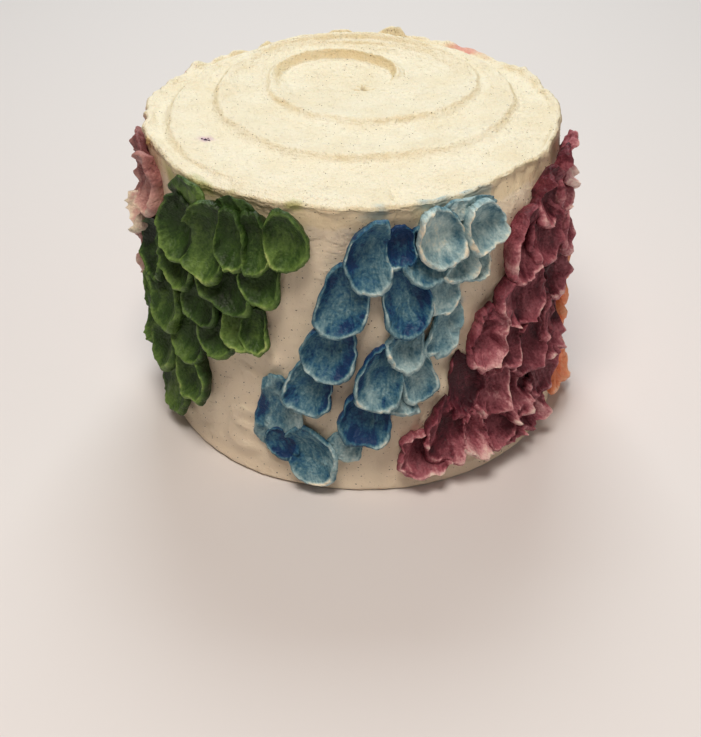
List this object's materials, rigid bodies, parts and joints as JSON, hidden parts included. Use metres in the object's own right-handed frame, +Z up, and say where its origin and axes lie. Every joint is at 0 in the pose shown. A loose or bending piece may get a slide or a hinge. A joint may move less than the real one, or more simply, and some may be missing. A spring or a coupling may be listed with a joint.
{
  "type": "layer cake",
  "caption": "Uncut round layer cake in ivory buttercream, with a spatula swirl on top and slanting bands of coloured palette-knife petals.",
  "frame": {"origin": "middle of the cake's flat base", "axes": "+Z up through the cake, -Y towards the front, where the blue band comes down, +X to the right"},
  "size_m": [0.1901, 0.1849, 0.133],
  "materials": {
    "ivory_buttercream": "soft ivory vanilla buttercream with fine dark vanilla specks, satin where the spatula pressed it",
    "green_buttercream": "leaf green buttercream, streaked lighter along the thin edges",
    "blue_buttercream": "blue buttercream marbled from deep to pale blue and white",
    "burgundy_buttercream": "burgundy buttercream with paler pink edges",
    "orange_buttercream": "soft orange buttercream",
    "coral_buttercream": "coral pink buttercream",
    "yellow_buttercream": "warm yellow buttercream",
    "red_buttercream": "rose red buttercream",
    "mauve_buttercream": "dusty mauve pink buttercream"
  },
  "bodies": {
    "root": {"cake": "ivory_buttercream", "petals_green": "green_buttercream", "petals_blue": "blue_buttercream", "petals_burgundy": "burgundy_buttercream", "petals_orange": "orange_buttercream", "petals_coral": "coral_buttercream", "petals_yellow": "yellow_buttercream", "petals_red": "red_buttercream", "petals_mauve": "mauve_buttercream"}
  },
  "joints": []
}
